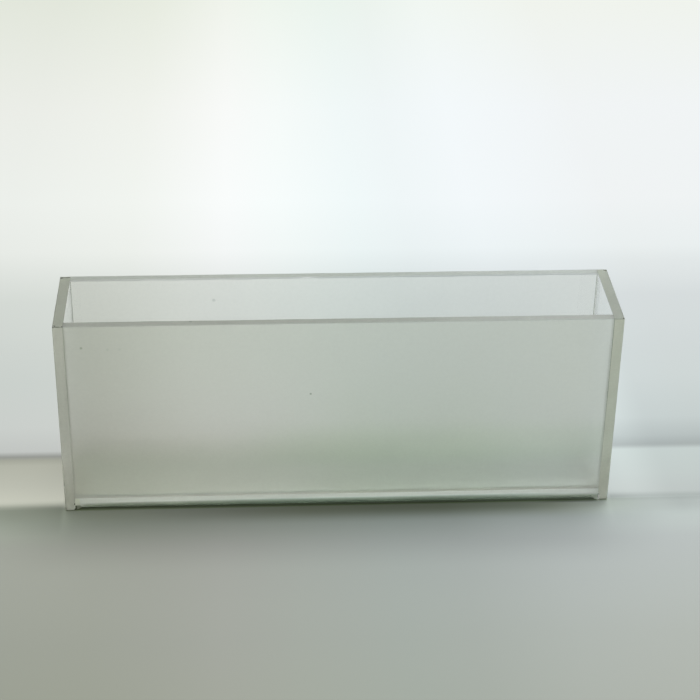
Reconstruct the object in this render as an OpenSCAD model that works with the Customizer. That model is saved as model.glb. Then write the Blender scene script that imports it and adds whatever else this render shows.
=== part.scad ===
// Open glass cuvette with a long optical path.
// Five flat plates are bonded edge to edge: two clear windows that close the
// ends, two ground side walls between them, and a base plate under the walls.
// The windows reach lower than the base, so their lower edges are the feet.
// X runs along the optical path, Y across the cell and Z upwards.
// The origin is at the middle of the rectangle that the cell stands on.

/* [Liquid space] */
// Optical path, between the inner faces of the two windows
path_length = 100; // [20:1:200]
// Clear width, between the inner faces of the two side walls
inner_w = 16; // [8:0.5:60]

/* [Plates] */
// Height of the windows, from the surface to the rim
cell_h = 40; // [20:1:100]
// Thickness of each window
window_t = 1.9; // [1:0.05:5]
// Thickness of each side wall
wall_t = 1.75; // [1:0.05:5]
// Thickness of the base plate
base_t = 2.55; // [1:0.05:5]
// Height of the base plate's underside above the surface
foot_gap = 0.2; // [0.15:0.05:5]

/* [Ground edges] */
// Size of the flat arris along the edges of every plate
arris = 0.12; // [0.05:0.01:0.3]
// Radius ground along the two long lower edges of the base plate
base_round = 1.1; // [0.2:0.05:4]

/* [Bond] */
// How far the fillet of bonding glass under each end of the base reaches along the base
bond_reach = 1.1; // [0.2:0.05:3]
// How far the fillet reaches down the window
bond_drop = 0.4; // [0.1:0.05:3]
// Thickness that the fillet keeps at the end of each leg
bond_lip = 0.08; // [0.05:0.01:0.1]

/* [Hidden] */
$fn = 64;

// Outer width, over the two side walls; the windows and the base are this wide
outer_w = inner_w + 2 * wall_t;
// Top of the base plate, on which the side walls stand
floor_z = foot_gap + base_t;
// Middle of each window and of each side wall
window_x = (path_length + window_t) / 2;
wall_y = (inner_w + wall_t) / 2;
// Ground radius, no more than the plate's thickness leaves under the arris
lower_r = min(base_round, base_t - 2 * arris);
// Level at which the fillet is wiped off, above the arris of the feet
wipe_z = min(arris, foot_gap / 2);
// Angle that the fillet turns round each ground radius, from the underside: a
// whole number of facets, so that it fits the base, and short of the outer face
turn = 12 * 360 / $fn;

clear_glass = [0.80, 0.88, 0.84, 0.45];
ground_glass = [0.72, 0.76, 0.71, 0.85];
base_glass = [0.76, 0.80, 0.75, 0.70];
bond_glass = [0.70, 0.76, 0.70, 0.60];

// Rectangle centred on the origin, with its four corners cut off at 45 degrees
module cut_rectangle(width, depth) {
    w = width / 2;
    d = depth / 2;
    polygon([
        [arris - w, -d], [w - arris, -d], [w, arris - d], [w, d - arris],
        [w - arris, d], [arris - w, d], [-w, d - arris], [-w, arris - d]
    ]);
}

// Plate centred on the Z axis and standing on z = 0, with an arris on all twelve edges
module plate(width, depth, height) {
    intersection() {
        linear_extrude(height) cut_rectangle(width, depth);
        translate([0, depth / 2, height / 2])
            rotate([90, 0, 0])
                linear_extrude(depth) cut_rectangle(width, height);
        translate([-width / 2, 0, height / 2])
            rotate([90, 0, 90])
                linear_extrude(width) cut_rectangle(depth, height);
    }
}

// Section of the base plate across the cell: arrises above, ground radii below
module base_section() {
    half = outer_w / 2;
    difference() {
        polygon([
            [-half, 0], [half, 0], [half, base_t - arris], [half - arris, base_t],
            [arris - half, base_t], [-half, base_t - arris]
        ]);
        for (side = [0, 1])
            mirror([side, 0])
                translate([half - lower_r, 0])
                    difference() {
                        translate([0, -arris]) square([lower_r + arris, lower_r + arris]);
                        translate([0, lower_r]) circle(lower_r);
                    }
    }
}

// Section of the fillet, a corner with a hollow front: X down the window, Y along the base
module fillet_section() {
    difference() {
        square([bond_drop, bond_reach]);
        translate([bond_drop + bond_lip, bond_reach + bond_lip])
            scale([bond_drop / bond_reach, 1])
                circle(bond_reach);
    }
}

module window(side) {
    color(clear_glass)
        translate([side * window_x, 0, 0])
            plate(window_t, outer_w, cell_h);
}

module wall(side) {
    color(ground_glass)
        translate([0, side * wall_y, floor_z])
            plate(path_length, wall_t, cell_h - floor_z);
}

module base_plate() {
    color(base_glass)
        translate([0, 0, foot_gap])
            intersection() {
                translate([-path_length / 2, 0, 0])
                    rotate([90, 0, 90])
                        linear_extrude(path_length) base_section();
                linear_extrude(base_t) cut_rectangle(path_length, outer_w);
            }
}

// Fillet at one end of the base, from the corner of its underside and the window
// towards +X: straight under the plate, then round both ground radii. It is wiped
// off flush with the cell's outer faces and just above its feet
module bond_fillet() {
    flat = outer_w - 2 * lower_r;
    intersection() {
        union() {
            translate([0, flat / 2, 0])
                rotate([0, 90, -90])
                    linear_extrude(flat) fillet_section();
            for (end = [0, 1])
                mirror([0, end, 0])
                    translate([0, flat / 2, lower_r])
                        rotate([0, 90, 0])
                            rotate_extrude(angle = turn)
                                translate([lower_r, 0]) fillet_section();
        }
        translate([0, -outer_w / 2, wipe_z - foot_gap]) cube([bond_reach, outer_w, foot_gap + base_t]);
    }
}

module bond_fillets() {
    color(bond_glass)
        for (side = [0, 1])
            mirror([side, 0, 0])
                translate([-path_length / 2, 0, foot_gap])
                    bond_fillet();
}

window(-1);  // window_left
window(1);  // window_right
wall(-1);  // wall_front
wall(1);  // wall_back
base_plate();
bond_fillets();
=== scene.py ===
"""Looks of an open glass cuvette with a long light path.

Five plates of real glass are bonded edge to edge: clear end windows, ground side walls and a raised base.
Each has the outer sizes of the CAD node that it stands for."""

import itertools
import math
import random

import bmesh
import bpy
from mathutils import Matrix, Vector, noise


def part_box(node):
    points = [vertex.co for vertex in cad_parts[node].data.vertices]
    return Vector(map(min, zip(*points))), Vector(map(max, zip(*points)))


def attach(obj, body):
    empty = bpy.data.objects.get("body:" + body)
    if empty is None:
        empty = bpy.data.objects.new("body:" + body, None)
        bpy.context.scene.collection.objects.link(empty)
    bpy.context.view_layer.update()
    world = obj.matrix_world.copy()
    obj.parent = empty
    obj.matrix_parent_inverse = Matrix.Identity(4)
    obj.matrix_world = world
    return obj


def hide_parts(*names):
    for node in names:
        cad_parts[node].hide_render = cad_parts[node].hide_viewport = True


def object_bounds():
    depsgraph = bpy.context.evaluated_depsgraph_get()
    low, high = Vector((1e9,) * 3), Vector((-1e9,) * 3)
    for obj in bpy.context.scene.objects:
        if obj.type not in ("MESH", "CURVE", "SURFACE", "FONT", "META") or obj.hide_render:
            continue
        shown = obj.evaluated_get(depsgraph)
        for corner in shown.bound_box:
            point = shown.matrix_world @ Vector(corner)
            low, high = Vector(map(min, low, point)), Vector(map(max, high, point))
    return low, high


MM = 0.001
X, Y, Z = 0, 1, 2
OUT, ACROSS = 3, 4         # distance from the cell's middle along it and across it, to either side

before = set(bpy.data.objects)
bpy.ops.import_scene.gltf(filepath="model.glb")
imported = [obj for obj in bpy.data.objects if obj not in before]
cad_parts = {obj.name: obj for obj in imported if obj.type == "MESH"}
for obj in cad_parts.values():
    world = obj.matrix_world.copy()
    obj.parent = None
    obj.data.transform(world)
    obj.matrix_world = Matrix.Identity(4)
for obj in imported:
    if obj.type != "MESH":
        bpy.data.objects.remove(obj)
cad_lo, cad_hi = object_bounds()

# ---------------------------------------------------------------- sizes, in metres
FREE_ARRIS = 0.12 * MM     # flat ground on a plate's free edges, as in the CAD
WIDE_ARRIS = 0.25 * MM     # and on the back wall's upper edge, inside
SEAM_ARRIS = 0.05 * MM     # what a bond leaves open of an arris
LONG_SEAM_ARRIS = 0.03 * MM    # and what it leaves along the seams between the walls and the base
ARRIS_STEP = 1.6 * MM      # distance between the points of an arris,
ARRIS_WANDER = 0.5         # how far its width wanders, as a share of it,
ARRIS_WAVE = 0.37          # and how quickly from point to point
WELD = 1e-8                # points closer than this are one
BOND = 0.01 * MM           # how far bonded plates reach into each other
BASE_ROUND = 1.1 * MM      # radius under the base's long edges, as in the CAD
ROUND_STEPS = 14

BEAD_REACH = 1.1 * MM      # bead of bonding glass: along the base,
BEAD_DROP = 0.40 * MM      # down the window,
BEAD_LIP = 0.08 * MM       # and what is left of it at each end
BEAD_BULGE = 0.06          # how much it bulges between them, as a share of its size
BEAD_TURN = 80             # degrees that it turns up round the base's ground edges
BEAD_TURN_STEPS = 12
BEAD_FLAT_STEPS = 20
BEAD_SEEN = 8              # of its steps that show in front
BEAD_WANDER = 0.3          # how far its size wanders, as a share of it,
BEAD_WAVE = 0.31           # and how quickly from step to step
BEAD_WIPE = 0.10 * MM      # level above the feet at which it is wiped off
BEAD_AIR = 0.005 * MM      # film of air that keeps it off the plates

CHIP_WANDER = 0.28         # how uneven a chip is, as a share of its size,
CHIP_WAVE = 1.7            # and how quickly it varies

# ---------------------------------------------------------------- camera
LENS = 96.6
SENSOR = 36.0
AIM = Vector((2.36, 0.0, 28.66)) * MM
DISTANCE = 353.9 * MM
PITCH, YAW, ROLL = 30.09, 3.61, 0.91
CLIP = 0.01, 20.0


def make_camera():
    """Camera that looks down on the front of the cell, a little from its left."""
    data = bpy.data.cameras.new("camera")
    data.lens, data.sensor_width = LENS, SENSOR
    data.clip_start, data.clip_end = CLIP
    camera = bpy.data.objects.new("camera", data)
    bpy.context.scene.collection.objects.link(camera)
    pitch, yaw, roll = (math.radians(v) for v in (PITCH, YAW, ROLL))
    level = math.cos(pitch)
    forward = Vector((math.sin(yaw) * level, math.cos(yaw) * level, -math.sin(pitch)))
    camera.location = AIM - forward * DISTANCE
    turn = forward.to_track_quat("-Z", "Y").to_matrix() @ Matrix.Rotation(roll, 3, "Z")
    camera.rotation_euler = turn.to_euler()
    bpy.context.scene.camera = camera


# ---------------------------------------------------------------- node trees
WHITE = (1, 1, 1, 1)


class Nodes:
    """Builds one node tree, on a material or on the world."""

    def __init__(self, owner, output="OutputMaterial", coordinates="Object"):
        owner.use_nodes = True
        self.tree = owner.node_tree
        self.tree.nodes.clear()
        self.out = self.add(output)
        self.place = self.add("TexCoord").outputs[coordinates]
        self.axes = dict(zip((X, Y, Z), self.add("SeparateXYZ", Vector=self.place).outputs))

    def add(self, kind, settings=None, **inputs):
        """Adds a node. settings are its properties, and inputs its sockets' values, or what feeds them."""
        node = self.tree.nodes.new("ShaderNode" + kind)
        for key, value in (settings or {}).items():
            setattr(node, key, value)
        for key, value in inputs.items():
            self.put(node.inputs[key.replace("_", " ")], value)
        return node

    def put(self, socket, value):
        """Feeds a socket with a value, a node's first output or another socket."""
        if isinstance(value, bpy.types.Node):
            value = value.outputs[0]
        if isinstance(value, bpy.types.NodeSocket):
            self.tree.links.new(value, socket)
        else:
            socket.default_value = value

    def maths(self, operation, *values):
        node = self.add("Math", {"operation": operation})
        for socket, value in zip(node.inputs, values):
            self.put(socket, value)
        return node.outputs[0]

    def product(self, *values):
        whole = values[0]
        for value in values[1:]:
            whole = self.maths("MULTIPLY", whole, value)
        return whole

    def between(self, a, b, share):
        """The number a where the share is 0, and b where it is 1."""
        return self.maths("ADD", a, self.product(share, self.maths("SUBTRACT", b, a)))

    def remap(self, value, low, high, to_low=0.0, to_high=1.0, smooth=False):
        node = self.add("MapRange", {"interpolation_type": "SMOOTHSTEP" if smooth else "LINEAR"})
        keys = ("Value", "From Min", "From Max", "To Min", "To Max")
        for key, v in zip(keys, (value, low, high, to_low, to_high)):
            self.put(node.inputs[key], v)
        return node.outputs[0]

    def where(self, *spans, smooth=True):
        """Share that goes from 0 at the start to 1 at the end of each span (axis, start, end), in mm."""
        return self.product(*(self.remap(self.axes[axis], start * MM, end * MM, smooth=smooth)
                              for axis, start, end in spans))

    def ramp(self, value, stops):
        """Colour ramp over stops of (position, colour)."""
        node = self.add("ValToRGB", Fac=value)
        elements = node.color_ramp.elements
        for k, (at, colour) in enumerate(stops):
            element = elements[k] if k < 2 else elements.new(at)
            element.position = at
            element.color = (*colour, 1)
        return node.outputs["Color"]

    def blend(self, factor, a, b, how="MIX"):
        """Mixes two colours."""
        node = self.add("Mix", {"data_type": "RGBA", "blend_type": how})
        for key, value in (("Factor_Float", factor), ("A_Color", a), ("B_Color", b)):
            self.put(next(i for i in node.inputs if i.identifier == key), value)
        return next(o for o in node.outputs if o.identifier == "Result_Color")

    def times(self, a, b):
        """Product of two colours."""
        return self.blend(1.0, a, b, "MULTIPLY")


# ---------------------------------------------------------------- glass
GLASS_IOR = 1.52
GLASS_TINT = (0.88, 0.95, 0.87, 1.0)
GLASS_DENSITY = 2.5
# Noises, as scale per metre, detail and roughness: the wide variation in tone and roughness, the fine one in
# tone, and the surface's grain
CLOUD = 140.0, 4.0, 0.6
SPECKLE = 1.0 / (0.7 * MM), 3.0, 0.75
GRAIN = 1.0 / (0.3 * MM), 3.0, 0.7
GRAIN_HEIGHT = 0.02 * MM
NOISE_RANGE = 0.3, 0.7     # nearly all of a noise lies between these values,
TONE_RANGE = 0.35, 0.65    # and the tone goes from its darkest to its lightest between these
SPECK_EDGE = 1.4, 0.5      # outside and inside of a speck's soft edge, as shares of its radius


class GlassNodes(Nodes):
    """Node tree of one glass, with the steps of its colour."""

    def cloud(self, scale, detail, roughness):
        node = self.add("TexNoise", Vector=self.place, Scale=scale, Detail=detail, Roughness=roughness)
        return node.outputs["Fac"]

    def varied(self, cloud, amount, colour=(1, 1, 1)):
        """The colour, darkened by up to that amount where the cloud is thin."""
        dark, light = TONE_RANGE
        return self.ramp(cloud, [(dark, [c * (1 - amount) for c in colour]), (light, colour)])

    def fade(self, tone, spans, colour):
        """The tone, multiplied by that colour where all the spans meet."""
        return self.times(tone, self.blend(self.where(*spans), WHITE, (*colour, 1)))

    def speck(self, tone, spot, radius, colour):
        """The tone with a soft-edged speck of that colour, at a spot in mm."""
        away = self.add("VectorMath", {"operation": "DISTANCE"})
        self.put(away.inputs[0], self.place)
        self.put(away.inputs[1], Vector(spot) * MM)
        outside, inside = (edge * radius * MM for edge in SPECK_EDGE)
        share = self.remap(away.outputs["Value"], outside, inside, smooth=True)
        return self.blend(share, tone, (*colour, 1))


def glass(name, rough, grain=0.0, colour=(1, 1, 1), mottle=0.0, speckle=0.0, clear=1.0, fades=(), specks=()):
    """Real glass: it bends light, with a roughness that varies and a fine surface grain.
    mottle and speckle are how much its colour varies, widely and finely, and clear is the share of light that
    it lets in. Each of fades ((axis, from, to), ..., colour) tints it on the way, where its spans meet, and
    each of specks (spot, radius, colour) is a dark grain in it."""
    material = bpy.data.materials.new(name)
    n = GlassNodes(material)
    cloud = n.cloud(*CLOUD)
    tone = n.varied(cloud, mottle, colour) if mottle else (*colour, 1)
    if speckle:
        tone = n.times(tone, n.varied(n.cloud(*SPECKLE), speckle))
    for *spans, tint in fades:
        tone = n.fade(tone, spans, tint)
    for spot, radius, tint in specks:
        tone = n.speck(tone, spot, radius, tint)
    shader = n.add("BsdfPrincipled", Base_Color=tone, Transmission_Weight=clear, IOR=GLASS_IOR)
    n.put(shader.inputs["Roughness"], n.remap(cloud, *NOISE_RANGE, *rough))
    if grain:
        bump = n.add("Bump", Strength=grain, Distance=GRAIN_HEIGHT, Height=n.cloud(*GRAIN))
        n.put(shader.inputs["Normal"], bump)
    n.put(n.out.inputs["Surface"], shader)
    n.put(n.out.inputs["Volume"], n.add("VolumeAbsorption", Color=GLASS_TINT, Density=GLASS_DENSITY))
    return material


# Polished: the windows' large faces, and the walls' inner faces with a grain of dust on the back one
POLISHED = glass("polished_glass", (0.005, 0.03))
INNER = glass("inner_glass", (0.02, 0.06), specks=[((-23.15, 8.0, 35.4), 0.32, (0.66, 0.68, 0.68))])

# Finely ground: the walls' outer faces, the base's underside and its sides
MATT = dict(rough=(0.46, 0.54), grain=0.3, mottle=0.02, speckle=0.05)
# painted shade on the walls' outer faces: darker towards the top, at the left end, and low down at the right
# end
WALL_PAINTED_SHADE = [
    ((Z, 24, 38), (0.93, 0.93, 0.94)),
    ((X, -25, -52), (0.86, 0.85, 0.84)),
    ((X, 34, 50), (Z, 36, 24), (0.97, 0.97, 0.96)),
]
FROSTED = glass("frosted_glass", colour=(0.99, 0.975, 0.94), fades=WALL_PAINTED_SHADE, **MATT)
# the front wall, with painted shade that makes it darker low down, and darker and greener in the middle
FRONT_WALL_PAINTED_SHADE = [
    ((Z, 17, 9), (Z, 2.8, 3.5), (X, 57, 41), (X, -55, -45), (0.68, 0.745, 0.735)),
    ((Z, 36, 14), (X, -12, 6), (X, 44, 22), (0.92, 0.955, 0.89)),
    ((Z, 20, 15), (Z, 8, 12), (X, -22, -6), (X, 60, 50), (0.885, 0.935, 0.87)),
    ((Z, 6.5, 3.2), (X, -14, 12), (X, 52, 42), (0.89, 0.89, 0.88)),
]
FRONT_DUST = [
    ((-46.95, -9.75, 35.56), 0.25, (0.40, 0.43, 0.34)),
    ((-42.24, -9.75, 35.16), 0.28, (0.68, 0.69, 0.63)),
    ((-40.05, -9.75, 35.18), 0.24, (0.71, 0.72, 0.66)),
    ((-5.4, -9.75, 25.1), 0.22, (0.35, 0.38, 0.30)),
]
FROSTED_FRONT = glass("front_frosted_glass", colour=(0.985, 0.975, 0.90), fades=WALL_PAINTED_SHADE + FRONT_WALL_PAINTED_SHADE,
                      specks=FRONT_DUST, **MATT)
UNDER = glass("base_frosted_glass", colour=(1.0, 0.99, 0.97), **MATT)
# the base's sides and ground radii, darkened downwards by painted shade, most at the left end, and yellower
# at the very left end
SKIRT = glass("base_edge_glass", colour=(0.965, 1.0, 0.95), fades=[
    ((Z, 1.95, 1.0), (X, -50.5, -47.5), (0.16, 0.20, 0.145)),
    ((Z, 1.5, 0.8), (X, -47.5, -50.5), (0.30, 0.33, 0.26)),
    ((Z, 1.85, 1.45), (X, 42, 22), (X, -49, -42), (0.52, 0.54, 0.49)),
    ((Z, 2.05, 1.7), (X, 48, 32), (X, -34, -12), (0.63, 0.74, 0.71)),
    ((X, -48.9, -49.3), (1.0, 1.0, 0.85)),
], **MATT)

# Coarsely ground: the walls' upper edges, with painted shade that darkens them to the left
ROUGH = dict(rough=(0.55, 0.68), grain=0.5, mottle=0.05, speckle=0.08)
RIM_PAINTED_SHADE = ((X, 48, 0), (0.73, 0.74, 0.70))
RIM = glass("ground_rim_glass", colour=(0.84, 0.84, 0.81), clear=0.86, fades=[RIM_PAINTED_SHADE],
            specks=[((-27.1, -8.4, 40.0), 0.28, (0.38, 0.40, 0.36))], **ROUGH)
RIM_BACK = glass("ground_back_rim_glass", colour=(0.92, 0.95, 0.91), clear=0.86, fades=[
    ((X, 48, 0), (0.76, 0.77, 0.73)),
    ((X, -15, -45), (0.92, 0.92, 0.92)),
], **ROUGH)
# the windows' upper and lower edges, darker to the left and towards the front with painted shade, and their
# side edges, with painted shade in the corners at the feet
GROUND_PAINTED_SHADE = [
    ((X, 45, -40), (0.74, 0.75, 0.70)),
    ((Y, 8, -6), (X, -10, 30), (0.82, 0.82, 0.82)),
    ((Y, -2, -9), (X, -20, -45), (0.89, 0.90, 0.89)),
]
GROUND = glass("ground_edge_glass", colour=(0.96, 0.97, 0.86), clear=0.93, fades=GROUND_PAINTED_SHADE, **ROUGH)
# painted light makes the side edges lighter below about 10 mm; painted shade darkens them at the very feet
# and a few mm up on the right, and they are yellower on the right
EDGE = glass("ground_side_glass", colour=(0.98, 0.98, 0.88), fades=[
    ((Z, 2, 10), (0.78, 0.79, 0.78)),
    ((X, 45, -45), (0.98, 0.96, 0.97)),
    ((X, 0, 40), (1.0, 1.0, 0.94)),
    ((Z, 0.28, 0.1), (X, -51.4, -50.9), (0.35, 0.36, 0.33)),
    ((Z, 0.5, 0.25), (X, 40, 49), (0.30, 0.32, 0.28)),
    ((Z, 1, 4), (Z, 14, 7), (X, 0, 40), (0.90, 0.90, 0.89)),
], **ROUGH)

# Arrises: on the outer and the other edges of the windows' tops, on the far edges of the walls' tops, on the
# back one's near edge, and on the front one's near edge and at the seams with the base
# the dark colours of the windows' top arrises and the walls' far ones are painted shade, on top of the
# painted shade of the edges they border
OUTER_ARRIS = glass("outer_arris_glass", colour=(0.34, 0.35, 0.27), clear=0.93, fades=GROUND_PAINTED_SHADE, **ROUGH)
ARRIS = glass("arris_glass", colour=(0.58, 0.58, 0.50), clear=0.93, fades=GROUND_PAINTED_SHADE, **ROUGH)
RIM_ARRIS = glass("rim_arris_glass", colour=(0.62, 0.62, 0.60), clear=0.86, fades=[RIM_PAINTED_SHADE], **ROUGH)
INNER_ARRIS = glass("inner_arris_glass", (0.28, 0.36))
PALE_ARRIS = glass("pale_arris_glass", colour=(0.98, 0.98, 0.94), **ROUGH)
# Seams between the windows and the walls, outside and inside
SEAM = glass("seam_glass", colour=(0.80, 0.81, 0.72), clear=0.9, fades=[
    ((Z, 4, 26), (X, -10, 10), (0.30, 0.31, 0.27)),
    ((Z, 8, 34), (X, 10, -10), (0.60, 0.61, 0.55)),
], **ROUGH)
SEAM_INSIDE = glass("inner_seam_glass", colour=(0.91, 0.93, 0.88), clear=0.55, **ROUGH)

# Bonding glass under the base, and what shows of it in front
MELTED = glass("melted_glass", (0.2, 0.35), colour=(1.0, 1.0, 0.98), mottle=0.04)
MELTED_FRONT = glass("melted_glass_front", (0.25, 0.4), grain=0.4, colour=(0.84, 0.90, 0.76), mottle=0.3,
                     clear=0.3, fades=[
    ((X, 10, -10), (0.62, 0.61, 0.55)),
    ((X, -49.6, -49.85), (0.25, 0.26, 0.20)),
])
# Where glass is chipped: the dark chips are painted with shade, the pale ones are clear glass
SHADED_CHIP = glass("shaded_chip_glass", (0.2, 0.5), grain=0.6, colour=(0.13, 0.14, 0.10), mottle=0.2, clear=0.5)
CHIPPED_PALE = glass("pale_chipped_glass", (0.1, 0.3), grain=0.4)


# ---------------------------------------------------------------- plates
def finished(name, mesh, materials):
    """Turns a bmesh into an object with those materials."""
    data = bpy.data.meshes.new(name)
    mesh.to_mesh(data)
    mesh.free()
    for material in materials:
        data.materials.append(material)
    piece = bpy.data.objects.new(name, data)
    bpy.context.scene.collection.objects.link(piece)
    return piece


def stand_for(piece, node):
    """The piece stands for the CAD node of that name and rides where it rides."""
    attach(piece, "root")
    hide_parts(node)


def wandering(width, count, rng):
    """Arris widths at the points along one edge: the true width at both ends, wandering between."""
    seed = rng.uniform(0, 100)
    return [width * (1 + (0 < k < count) * ARRIS_WANDER * noise.noise((seed, ARRIS_WAVE * k, 0.0)))
            for k in range(count + 1)]


class Plate:
    """Mesh of a plate between two corners, with a wandering arris on all twelve edges.
    A face is named (axis, side). finishes gives a material for each face. arrises has rows of (faces, width,
    material), of which an arris takes the first whose faces all meet there."""

    def __init__(self, lo, hi, finishes, arrises, rng):
        self.lo, self.hi = lo, hi
        self.finishes, self.arrises = finishes, arrises
        self.materials = list(dict.fromkeys([*finishes.values(), *(row[2] for row in arrises)]))
        self.mesh = bmesh.new()
        self.verts = {}
        self.lines = {}        # the points of a face's border with another
        for axis in (X, Y, Z):
            a, b = (i for i in (X, Y, Z) if i != axis)
            for s, t in itertools.product((-1, 1), repeat=2):
                self.cut_edge(axis, (a, s), (b, t), rng)
        for face in itertools.product((X, Y, Z), (-1, 1)):
            self.fill_face(face)
        for corner in itertools.product((-1, 1), repeat=3):
            self.fill_corner(corner)
        bmesh.ops.recalc_face_normals(self.mesh, faces=self.mesh.faces)

    def arris(self, *faces):
        """Width and material of the arris where those faces meet."""
        return next((width, material) for on, width, material in self.arrises if set(on) <= set(faces))

    def level(self, face):
        axis, side = face
        return (self.hi if side > 0 else self.lo)[axis]

    def vert(self, point):
        key = tuple(round(v / WELD) for v in point)
        if key not in self.verts:
            self.verts[key] = self.mesh.verts.new(point)
        return self.verts[key]

    def skin(self, corners, material):
        corners = list(dict.fromkeys(corners))
        if len(corners) > 2:
            self.mesh.faces.new(corners).material_index = self.materials.index(material)

    def cut_edge(self, axis, first, second, rng):
        """Makes the arris between two faces, which runs along the axis."""
        width, material = self.arris(first, second)
        count = max(1, round((self.hi[axis] - self.lo[axis]) / ARRIS_STEP))
        for on, off in ((first, second), (second, first)):
            start = self.lo[axis] + self.arris(on, (axis, -1))[0]
            end = self.hi[axis] - self.arris(on, (axis, 1))[0]
            line = []
            for k, wide in enumerate(wandering(width, count, rng)):
                point = [0.0] * 3
                point[axis] = start + (end - start) * k / count
                point[on[0]] = self.level(on)
                point[off[0]] = self.level(off) - off[1] * wide
                line.append(self.vert(point))
            self.lines[on, off] = line
        near, far = self.lines[first, second], self.lines[second, first]
        for k in range(count):
            self.skin([near[k], near[k + 1], far[k + 1], far[k]], material)

    def fill_face(self, face):
        """Makes one of the six faces, inside its arrises."""
        b, c = (i for i in (X, Y, Z) if i != face[0])
        border = self.lines[face, (b, -1)] + self.lines[face, (c, 1)]
        border += self.lines[face, (b, 1)][::-1] + self.lines[face, (c, -1)][::-1]
        self.skin(border, self.finishes[face])

    def fill_corner(self, corner):
        """Makes the small triangle where three arrises meet."""
        points = []
        for on in (X, Y, Z):
            off = next(i for i in (X, Y, Z) if i != on)
            along = X + Y + Z - on - off
            line = self.lines[(on, corner[on]), (off, corner[off])]
            points.append(line[-1 if corner[along] > 0 else 0])
        self.skin(points, self.arris(*enumerate(corner))[1])


def make_window(side, rng):
    """Clear end plate with its chips."""
    name = "window_left" if side < 0 else "window_right"
    lo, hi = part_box(name)
    finishes = {(a, s): {X: POLISHED, Y: EDGE, Z: GROUND}[a] for a in (X, Y, Z) for s in (-1, 1)}
    arrises = [
        ([(X, -side), (Z, 1)], SEAM_ARRIS, ARRIS),
        ([(X, side), (Z, 1)], FREE_ARRIS, OUTER_ARRIS),
        ([(Z, 1)], FREE_ARRIS, ARRIS),
        ([(X, -side), (Z, -1)], SEAM_ARRIS, GROUND),
        ([(X, -side)], SEAM_ARRIS, SEAM),
        ([], FREE_ARRIS, GROUND),
    ]
    plate = Plate(lo, hi, finishes, arrises, rng)
    piece = finished(name + "_glass", plate.mesh, plate.materials)
    for window, corner, offset, size, finish in CHIPS:
        if window == name:
            chip(piece, corner, offset, size, finish, rng)
    stand_for(piece, name)


def make_wall(side, rng):
    """Side plate, ground outside and polished inside."""
    name, front = ("wall_front", True) if side < 0 else ("wall_back", False)
    lo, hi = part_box(name)
    lo -= Vector((BOND, 0, BOND))
    hi += Vector((BOND, 0, 0))
    rim = RIM if front else RIM_BACK
    near = (FREE_ARRIS, PALE_ARRIS) if front else (WIDE_ARRIS, INNER_ARRIS)
    finishes = {
        (X, -1): POLISHED, (X, 1): POLISHED, (Z, -1): POLISHED, (Z, 1): rim,
        (Y, side): FROSTED_FRONT if front else FROSTED, (Y, -side): INNER,
    }
    seams = [([(X, end), (Y, across)], SEAM_ARRIS, SEAM if across == side else SEAM_INSIDE)
             for end in (-1, 1) for across in (-1, 1)]
    arrises = seams + [
        ([(Z, -1)], LONG_SEAM_ARRIS, PALE_ARRIS),
        ([(X, -1)], SEAM_ARRIS, rim),
        ([(X, 1)], SEAM_ARRIS, rim),
        ([(Y, -1), (Z, 1)], *near),
        ([], FREE_ARRIS, RIM_ARRIS),
    ]
    plate = Plate(lo, hi, finishes, arrises, rng)
    stand_for(finished(name + "_glass", plate.mesh, plate.materials), name)


def make_base():
    """Base plate with arrises above and wide ground radii below, swept along the cell."""
    lo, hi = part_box("base_plate")
    lo -= Vector((BOND, 0, 0))
    hi += Vector((BOND, 0, 0))
    half = (hi.y - lo.y) / 2
    back = [(half - LONG_SEAM_ARRIS, hi.z), (half, hi.z - LONG_SEAM_ARRIS)]
    for k in range(ROUND_STEPS + 1):
        a = math.pi / 2 * k / ROUND_STEPS
        back.append((half - BASE_ROUND * (1 - math.cos(a)), lo.z + BASE_ROUND * (1 - math.sin(a))))
    profile = back + [(-y, z) for y, z in back][::-1]
    # the material of the face that starts at each point
    sides = [SKIRT] * (ROUND_STEPS + 1)
    skins = [PALE_ARRIS] + sides + [UNDER] + sides + [PALE_ARRIS, UNDER]
    materials = [SKIRT, PALE_ARRIS, UNDER, POLISHED]
    mesh = bmesh.new()
    middle = (lo.y + hi.y) / 2
    ends = [[mesh.verts.new((x, middle + y, z)) for y, z in profile] for x in (lo.x, hi.x)]
    for k, skin in enumerate(skins):
        after = (k + 1) % len(profile)
        face = mesh.faces.new([ends[0][k], ends[0][after], ends[1][after], ends[1][k]])
        face.material_index = materials.index(skin)
        face.smooth = skin is SKIRT
    for end in ends:
        mesh.faces.new(end).material_index = materials.index(POLISHED)
    bmesh.ops.recalc_face_normals(mesh, faces=mesh.faces)
    stand_for(finished("base_plate_glass", mesh, materials), "base_plate")


# ---------------------------------------------------------------- bonding glass
def bead_route(low, half):
    """Points (y, z) of a bead from front to back, each with its direction (y, z) out of the base."""
    flat = half - BASE_ROUND
    route = []
    for k in range(BEAD_TURN_STEPS):
        a = math.radians(BEAD_TURN * (1 - k / BEAD_TURN_STEPS))
        out, down = math.sin(a), -math.cos(a)
        route.append((flat + BASE_ROUND * out, low + BASE_ROUND * (1 + down), out, down))
    route += [(flat * (1 - k / BEAD_FLAT_STEPS), low, 0.0, -1.0) for k in range(BEAD_FLAT_STEPS + 1)]
    return route + [(-y, z, -out, down) for y, z, out, down in route[-2::-1]]


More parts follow.
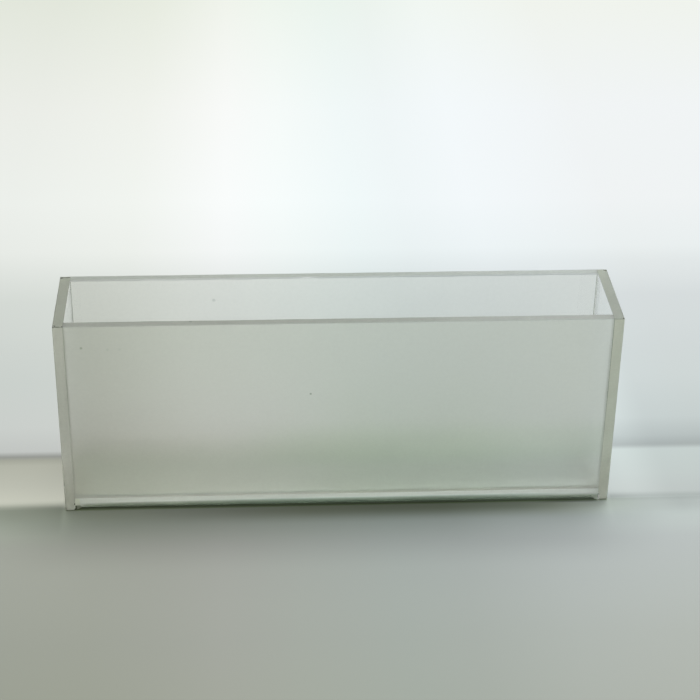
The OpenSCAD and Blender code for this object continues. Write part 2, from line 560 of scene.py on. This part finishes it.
def bead_section(seed, step):
    """Section of a bead at a step of its route, as points (distance from the base, from the window)."""
    reach = BEAD_REACH * (1 + BEAD_WANDER * noise.noise((seed, BEAD_WAVE * step, 0.0)))
    drop = BEAD_DROP * (1 + BEAD_WANDER * noise.noise((seed, BEAD_WAVE * step, 5.0)))
    section = [(BEAD_AIR, BEAD_AIR), (BEAD_AIR, reach), (BEAD_LIP, reach)]
    for part in (0.2, 0.4, 0.6, 0.8):
        bulge = BEAD_BULGE * math.sin(math.pi * part)
        section.append((BEAD_LIP + drop * (part + bulge), reach * (1 - part + bulge)))
    return section + [(drop, BEAD_AIR)]


def skin_bead(mesh, rings):
    """Closes a bead over its rings. Its ends, which show, take the second material."""
    for at, (a, b) in enumerate(zip(rings, rings[1:])):
        for k in range(len(a)):
            after = (k + 1) % len(a)
            face = mesh.faces.new([a[k], a[after], b[after], b[k]])
            face.smooth = 2 < k < len(a) - 2
            face.material_index = int(at < BEAD_SEEN or at > len(rings) - 2 - BEAD_SEEN)
    for ring in (rings[0], rings[-1]):
        mesh.faces.new(ring).material_index = 1


def make_beads(rng):
    """Uneven bead of bonding glass under each end of the base, which turns up round both ground edges."""
    lo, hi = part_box("base_plate")
    half = (hi.y - lo.y) / 2
    mesh = bmesh.new()
    for side, window in ((-1, lo.x), (1, hi.x)):
        seed = rng.uniform(0, 100)
        rings = []
        for step, (y, z, out, down) in enumerate(bead_route(lo.z, half)):
            ring = []
            for off_base, off_window in bead_section(seed, step):
                across = max(-half, min(half, y + out * off_base))
                level = max(BEAD_WIPE, z + down * off_base)
                ring.append(mesh.verts.new((window - side * off_window, across, level)))
            rings.append(ring)
        skin_bead(mesh, rings)
    bmesh.ops.recalc_face_normals(mesh, faces=mesh.faces)
    stand_for(finished("bond_beads", mesh, [MELTED, MELTED_FRONT]), "bond_fillets")


# ---------------------------------------------------------------- wear
# Plate, the corner that is chipped as (side of X, side of Y, side of Z), offset from it in mm, the chip's
# size in mm, and its finish
CHIPS = [
    ("window_left", (-1, 1, 1), (0.30, -0.45, 0.12), (0.40, 0.55, 0.25), SHADED_CHIP),
    ("window_left", (-1, 1, 1), (1.05, -0.25, 0.02), (1.05, 0.46, 0.16), SHADED_CHIP),
    ("window_left", (-1, -1, 1), (0.20, 0.20, 0.10), (0.38, 0.50, 0.25), SHADED_CHIP),
    ("window_left", (-1, -1, 1), (0.90, 0.02, 0.02), (0.70, 0.14, 0.10), SHADED_CHIP),
    ("window_left", (1, -1, 1), (-0.10, 0.10, 0.08), (0.22, 0.30, 0.16), SHADED_CHIP),
    ("window_left", (1, -1, -1), (0.0, 0.0, 1.45), (0.20, 0.25, 0.22), SHADED_CHIP),
    ("window_left", (1, -1, -1), (0.0, 0.0, 0.25), (0.22, 0.25, 0.25), SHADED_CHIP),
    ("window_right", (1, 1, 1), (-0.30, -0.35, 0.12), (0.42, 0.50, 0.28), SHADED_CHIP),
    ("window_right", (1, -1, 1), (-0.10, 0.10, 0.05), (0.24, 0.30, 0.15), SHADED_CHIP),
    ("window_right", (-1, -1, -1), (-0.05, -0.05, 0.75), (0.45, 0.30, 1.0), CHIPPED_PALE),
]


def corner_of(piece, corner):
    """The corner (side of X, side of Y, side of Z) of a piece's box."""
    points = [v.co for v in piece.data.vertices]
    return Vector([(max if side > 0 else min)(p[axis] for p in points) for axis, side in enumerate(corner)])


def chip(piece, corner, offset, size, finish, rng):
    """Knocks a small uneven scoop out of a corner of a piece."""
    mesh = bmesh.new()
    bmesh.ops.create_icosphere(mesh, subdivisions=3, radius=1.0)
    seed = Vector((rng.uniform(0, 50), rng.uniform(0, 50), rng.uniform(0, 50)))
    for v in mesh.verts:
        bump = 1 + CHIP_WANDER * noise.noise(v.co * CHIP_WAVE + seed)
        v.co = Vector([c * bump * s * MM for c, s in zip(v.co, size)])
    tool = finished("chip_tool", mesh, [finish])
    tool.location = corner_of(piece, corner) + Vector(offset) * MM
    cut = piece.modifiers.new("chip", "BOOLEAN")
    cut.object, cut.operation, cut.solver = tool, "DIFFERENCE", "EXACT"
    cut.material_mode = "TRANSFER"
    bpy.context.view_layer.update()
    graph = bpy.context.evaluated_depsgraph_get()
    result = bpy.data.meshes.new_from_object(piece.evaluated_get(graph), depsgraph=graph)
    piece.modifiers.clear()
    piece.data = result
    bpy.data.objects.remove(tool)


# ---------------------------------------------------------------- floor
FLOOR_SIZE = 3.0
FLOOR_DROP = 0.01 * MM     # how far it lies below the feet

# Places are in mm from the middle of the cell
END, SIDE = cad_hi[X] / MM, cad_hi[Y] / MM         # half the cell's length and width
FRONT = -SIDE
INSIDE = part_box("base_plate")[1][X] / MM           # half the distance between its windows

# Tone of the floor from front to back: distance behind the middle, colour on the left, colour on the right.
# It is darker in front of the cell, has a line of painted shade 9 mm behind its middle, and brightens far
# behind with painted light
TONES = [
    (-100, (0.26, 0.27, 0.21), (0.33, 0.34, 0.29)),
    (-50, (0.29, 0.30, 0.26), (0.38, 0.40, 0.37)),
    (-22, (0.33, 0.34, 0.30), (0.43, 0.46, 0.45)),
    (-14, (0.34, 0.37, 0.31), (0.48, 0.53, 0.51)),
    (-8.6, (0.34, 0.37, 0.30), (0.46, 0.51, 0.49)),
    (-7.4, (0.54, 0.55, 0.47), (0.55, 0.60, 0.58)),
    (-1, (0.48, 0.49, 0.42), (0.54, 0.60, 0.58)),
    (8.2, (0.44, 0.45, 0.38), (0.55, 0.62, 0.60)),
    (9.0, (0.35, 0.36, 0.33), (0.47, 0.52, 0.51)),
    (10.0, (0.55, 0.57, 0.55), (0.50, 0.56, 0.55)),
    (37, (0.59, 0.63, 0.60), (0.60, 0.66, 0.65)),
    (73, (0.68, 0.72, 0.68), (0.66, 0.71, 0.71)),
    (98, (0.84, 0.87, 0.83), (0.85, 0.905, 0.90)),
    (125, (0.88, 0.91, 0.87), (0.90, 0.94, 0.94)),
    (185, (0.87, 0.89, 0.84), (0.91, 0.95, 0.95)),
    (300, (0.78, 0.82, 0.72), (0.90, 0.94, 0.86)),
]
TONE_REACH = TONES[0][0], TONES[-1][0]
TO_THE_RIGHT = (X, -40, 75)    # span over which the left colour turns into the right one

# How much of its own tone the floor shows, over the light that falls on it: distance behind the middle, the
# share seen straight, and the share seen through glass
GLOW = [
    (-40, 0.0, 0.0), (-20, 0.15, 0.4), (-9.2, 0.15, 0.9), (-8.4, 0.2, 1.0), (-7.4, 0.85, 1.0),
    (10, 0.85, 1.0), (50, 1.0, 1.0),
]

# How its tone varies from left to right
SIDEWAYS = [
    (-75, (0.955, 0.955, 0.955)), (-45, (1.0, 1.0, 1.0)), (-22, (1.08, 1.07, 1.11)), (-8, (1.05, 1.07, 1.10)),
    (10, (0.99, 1.03, 1.06)), (22, (0.975, 1.0, 1.03)), (40, (1.0, 1.01, 1.04)), (75, (0.965, 0.955, 0.96)),
]

# How much lighter or darker the floor is beside the cell than in line with it: distance behind the middle,
# left, right. Its darker stripes, along the line of the cell's front and 9 mm behind its middle, are painted
# shade, and where it is lighter it is painted light
BESIDE = [
    (-18, 1.0, 1.0), (-13, 0.88, 0.95), (-10.5, 0.82, 0.95), (-9.0, 0.81, 0.86), (-8.6, 0.77, 0.77),
    (-8.0, 0.90, 0.83), (-7.0, 1.10, 0.95), (-1, 1.06, 1.01), (6, 1.0, 1.02), (8, 0.84, 1.02),
    (9, 0.72, 0.89), (9.8, 0.85, 0.82), (11, 0.97, 0.84), (13, 0.99, 0.93), (20, 1.05, 1.06),
    (40, 1.02, 1.06), (60, 1.02, 1.07), (72, 1.01, 1.06), (81, 1.0, 1.035), (90, 1.0, 1.0),
]
BESIDE_WHERE = [(OUT, END, END + 1.1)]
RIGHT_HALF = (X, -1, 1)

# How much lighter it is next to the right window, whose glass throws light on it,
WINDOW_SHINE = 1.16
WINDOW_WHERE = [(X, END - 0.9, END + 0.6), (X, 66, 56), (Y, FRONT + 0.45, FRONT + 0.75), (Y, 88, 60)]
# under the feet, as ends (distance to the right, how much) of a slope,
FOOT_SHINE = (-50, 1.7), (50, 1.9)
FOOT_WHERE = [(OUT, INSIDE - 0.2, INSIDE + 0.1), (OUT, END, END - 0.2), (ACROSS, SIDE - 0.05, SIDE - 0.25)]
# and under the base, near the middle of its width and towards its long edges
MIDDLE_SHINE = (-50, 1.25), (10, 1.0)
LONG_EDGE_SHINE = (-50, 1.0), (50, 2.0)
LONG_EDGE = (ACROSS, 3, 8)
BASE_WHERE = [(OUT, INSIDE + 0.1, INSIDE - 0.2), (ACROSS, SIDE - 0.45, SIDE - 0.85)]

# What is left of its tone in the darkest part of the shadow, in front of the cell, from left to right
CORE = [
    (-62, (0.94, 0.94, 0.94)), (-55, (1.04, 1.04, 1.03)), (-46, (1.07, 1.07, 1.03)), (-38, (1.0, 1.0, 0.97)),
    (-30, (0.88, 0.88, 0.86)), (-18, (0.71, 0.71, 0.66)), (-5, (0.58, 0.58, 0.49)), (8, (0.51, 0.51, 0.42)),
    (20, (0.49, 0.50, 0.40)), (35, (0.62, 0.64, 0.53)), (41, (0.79, 0.80, 0.67)), (47, (1.08, 1.09, 0.985)),
    (53, (1.12, 1.13, 1.075)), (59, (0.995, 0.99, 0.98)), (66, (0.88, 0.87, 0.875)), (80, (1.0, 1.0, 1.0)),
]
CORE_WHERE = [(Y, FRONT - 6.05, FRONT - 1.05)]
# How much lighter it is in front of its right half,
CORE_SHINE = 1.10
CORE_SHINE_WHERE = [(X, 18, 34), (X, 60, 45), (Y, -24, -15), (Y, -11, -13)]
# and what is left of it at the right end, next to the foot
CONTACT = 0.58
CONTACT_WHERE = [(X, 34, 45), (X, INSIDE + 0.4, INSIDE - 0.8), (Y, FRONT - 0.65, FRONT - 0.25)]
# The core and the shade at the foot both end here, just under the cell's front
NOT_UNDER = (Y, FRONT + 0.75, FRONT + 0.55)

# What is left of it in the dark line under the cell's front
GAP_SHADE = (0.95, 1.05, 0.80, 1)
GAP_WHERE = [(OUT, END + 0.3, END - 0.3), (Y, FRONT - 0.3, FRONT + 0.1), (Y, -1, -4)]


def column(rows, k):
    """One column of a table, as rows of (distance, colour), with a number as a grey."""
    return [(row[0], row[k] if isinstance(row[k], tuple) else (row[k],) * 3) for row in rows]


class FloorNodes(Nodes):
    """Node tree of the floor, with the parts of its tone that depend on where the cell stands."""

    def __init__(self, owner):
        super().__init__(owner)
        self.axes[OUT] = self.maths("ABSOLUTE", self.axes[X])
        self.axes[ACROSS] = self.maths("ABSOLUTE", self.axes[Y])

    def scaled(self, colour, factor):
        return self.add("VectorMath", {"operation": "SCALE"}, Vector=colour, Scale=factor).outputs[0]

    def profile(self, axis, rows, reach=None):
        """Colour that follows rows of (distance in mm, colour) along an axis. It may be lighter than white,
        so the ramp holds half of it."""
        low, high = reach or (rows[0][0], rows[-1][0])
        stops = [((at - low) / (high - low), [c / 2 for c in colour]) for at, colour in rows]
        return self.scaled(self.ramp(self.remap(self.axes[axis], low * MM, high * MM), stops), 2.0)

    def slope(self, start, end):
        """Number that goes from start to end, both (distance to the right in mm, number), and no further."""
        return self.remap(self.axes[X], start[0] * MM, end[0] * MM, start[1], end[1])

    def only(self, factor, spans, smooth=True):
        """The factor where the spans meet, and 1 elsewhere."""
        return self.between(1.0, factor, self.where(*spans, smooth=smooth))

    def bare(self):
        """Tone of the floor with nothing on it."""
        left, right = (self.profile(Y, column(TONES, k)) for k in (1, 2))
        return self.times(self.blend(self.where(TO_THE_RIGHT), left, right), self.profile(X, SIDEWAYS))

    def in_front(self):
        """The shadow's core, the light that the right window throws next to it, and the shade at the foot."""
        outside = self.where(NOT_UNDER, smooth=False)
        core = self.blend(self.product(self.where(*CORE_WHERE), outside), WHITE, self.profile(X, CORE))
        contact = self.between(1.0, CONTACT, self.product(self.where(*CONTACT_WHERE), outside))
        return self.scaled(core, self.product(contact, self.only(CORE_SHINE, CORE_SHINE_WHERE)))

    def beside(self):
        """Painted shade and light in stripes beside the cell, the window's light, and the light under its
        feet.
        """
        left, right = (self.profile(Y, column(BESIDE, k)) for k in (1, 2))
        painted_stripes = self.blend(self.where(RIGHT_HALF), left, right)
        return self.product(self.only(painted_stripes, BESIDE_WHERE), self.only(WINDOW_SHINE, WINDOW_WHERE),
                            self.only(self.slope(*FOOT_SHINE), FOOT_WHERE, smooth=False))

    def under(self):
        """Light under the base."""
        shine = self.between(self.slope(*MIDDLE_SHINE), self.slope(*LONG_EDGE_SHINE), self.where(LONG_EDGE))
        return self.only(shine, BASE_WHERE, smooth=False)


def floor_material():
    """A tone that is partly lit, so that it keeps the cell's shadow, and partly shines by itself."""
    material = bpy.data.materials.new("floor")
    n = FloorNodes(material)
    tone = n.scaled(n.times(n.bare(), n.in_front()), n.product(n.beside(), n.under()))
    path = n.add("LightPath")
    bent = path.outputs["Is Transmission Ray"]
    seen = n.maths("MAXIMUM", path.outputs["Is Camera Ray"], path.outputs["Is Glossy Ray"])
    straight = n.maths("MAXIMUM", n.maths("SUBTRACT", seen, bent), 0.0)
    own, through = (n.profile(Y, column(GLOW, k), TONE_REACH) for k in (1, 2))
    share = n.maths("ADD", n.product(straight, own), n.product(bent, through))
    gap = n.where(*GAP_WHERE)
    lit = n.times(tone, n.blend(gap, WHITE, GAP_SHADE))
    # seen straight, the gap doesn't shine
    mix = n.add("MixShader", Fac=n.product(share, n.maths("SUBTRACT", 1.0, n.product(gap, straight))))
    n.put(mix.inputs[1], n.add("BsdfDiffuse", Color=lit))
    n.put(mix.inputs[2], n.add("Emission", Color=tone, Strength=1.0))
    n.put(n.out.inputs["Surface"], mix)
    return material


def make_floor():
    """Flat pale floor. Its tone is darker in front of the cell, with painted shade along the line under the
    cell's front, and far behind it brightens into white with painted light.
    """
    mesh = bpy.data.meshes.new("floor")
    s = FLOOR_SIZE
    mesh.from_pydata([(-s, -s, 0), (s, -s, 0), (s, s, 0), (-s, s, 0)], [], [(0, 1, 2, 3)])
    mesh.materials.append(floor_material())
    floor = bpy.data.objects.new("floor", mesh)
    bpy.context.scene.collection.objects.link(floor)
    floor.location.z = -FLOOR_DROP


# ---------------------------------------------------------------- light
WORLD_COLOUR = (0.96, 1.0, 0.98, 1)
WORLD_FRONT, WORLD_BACK = 0.45, 0.95
WORLD_TURN = 0.5           # Y of a direction, to the front and the back, past which it stays the same
WORLD_SIDE = 0.10          # how much brighter the right is than the middle, and the middle than the left
BOUNCES, GLOSSY_BOUNCES = 32, 16


def make_world():
    """Soft light from all round, brighter from behind than in front and from the right than the left."""
    world = bpy.data.worlds.new("world")
    bpy.context.scene.world = world
    n = Nodes(world, "OutputWorld", "Generated")
    back = n.remap(n.axes[Y], -WORLD_TURN, WORLD_TURN, WORLD_FRONT, WORLD_BACK, smooth=True)
    side = n.remap(n.axes[X], -1, 1, 1 - WORLD_SIDE, 1 + WORLD_SIDE)
    n.put(n.out.inputs["Surface"], n.add("Background", Color=WORLD_COLOUR, Strength=n.product(back, side)))


def make_lamp(name, spot, aim, size, power):
    """Round lamp at a spot, aimed at another."""
    data = bpy.data.lights.new(name, "AREA")
    data.shape, data.size, data.energy = "DISK", size, power
    lamp = bpy.data.objects.new(name, data)
    bpy.context.scene.collection.objects.link(lamp)
    lamp.location = spot
    lamp.rotation_euler = (Vector(aim) - Vector(spot)).to_track_quat("-Z", "Y").to_euler()


def let_light_through():
    """Enough bounces for light to cross all the plates, and no caustics, which would only be noise."""
    cycles = bpy.context.scene.cycles
    cycles.caustics_refractive = False
    cycles.caustics_reflective = False
    cycles.max_bounces = BOUNCES
    cycles.transmission_bounces = BOUNCES
    cycles.glossy_bounces = GLOSSY_BOUNCES


# ---------------------------------------------------------------- the scene
make_camera()
rng = random.Random(7)
for side in (-1, 1):
    make_window(side, rng)
    make_wall(side, rng)
make_base()
make_beads(rng)
make_floor()
make_world()
make_lamp("overhead", spot=(0.05, 0.12, 0.6), aim=(0, 0, 0), size=0.3, power=2.6)
let_light_through()
bpy.context.scene.view_settings.view_transform = "Standard"
